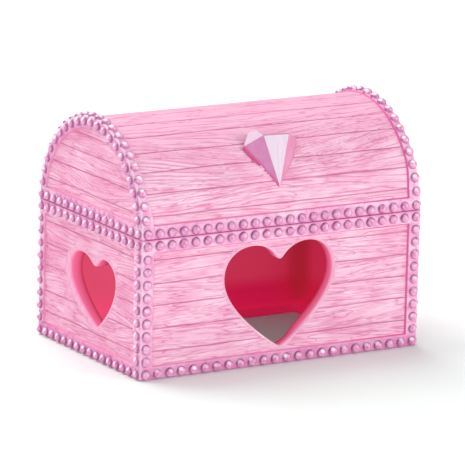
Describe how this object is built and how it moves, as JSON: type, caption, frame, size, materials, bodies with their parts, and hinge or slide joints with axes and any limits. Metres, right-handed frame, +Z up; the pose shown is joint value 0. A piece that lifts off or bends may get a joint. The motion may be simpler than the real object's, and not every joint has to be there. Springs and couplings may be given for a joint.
{
  "type": "treasure chest ornament",
  "caption": "Hollow cast treasure chest ornament with a barrel lid moulded shut, beaded edges, heart-shaped openings and a gem in relief.",
  "frame": {"origin": "on the ground, under the middle of the chest", "axes": "+X along the chest's length, -Y is the front with the gem, +Z up"},
  "size_m": [0.1346, 0.0892, 0.1014],
  "materials": {
    "resin": "cast polyresin with a pearly pink coat, deeper pink in the grooves, and crimson inside"
  },
  "bodies": {
    "root": {"chest": "resin"}
  },
  "joints": []
}
